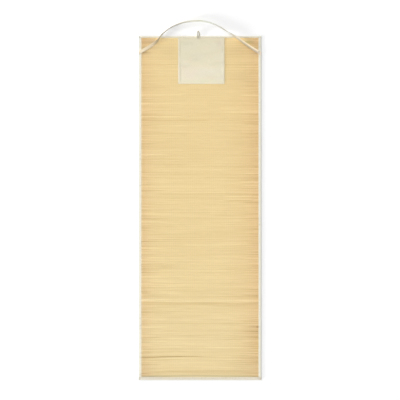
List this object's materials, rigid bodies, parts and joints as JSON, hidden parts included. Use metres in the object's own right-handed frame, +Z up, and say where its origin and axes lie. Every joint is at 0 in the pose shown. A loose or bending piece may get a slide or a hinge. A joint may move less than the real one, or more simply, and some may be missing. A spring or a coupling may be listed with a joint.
{
  "type": "straw beach mat",
  "caption": "Long flat mat of woven straw with cotton-bound edges, a square cloth patch at its head, a flat carrying strap in a low arch and a small hanging tab.",
  "frame": {"origin": "middle of the mat's flat underside, on the surface that it lies on", "axes": "+X to the mat's right, +Y along the mat towards the end with the strap, +Z up out of its top face"},
  "size_m": [0.606, 1.7769, 0.0201],
  "materials": {
    "straw": "dry woven straw with a faint silky shine",
    "binding_cotton": "matt cream cotton tape",
    "patch_cotton": "matt unbleached cotton cloth, lightly creased",
    "strap_cotton": "matt cream cotton tape",
    "tab_cotton": "matt cream cotton tape"
  },
  "bodies": {
    "root": {"straw_panel": "straw", "binding_left": "binding_cotton", "binding_right": "binding_cotton", "binding_top": "binding_cotton", "binding_bottom": "binding_cotton", "patch": "patch_cotton", "strap": "strap_cotton", "tab_loop": "tab_cotton"}
  },
  "joints": []
}
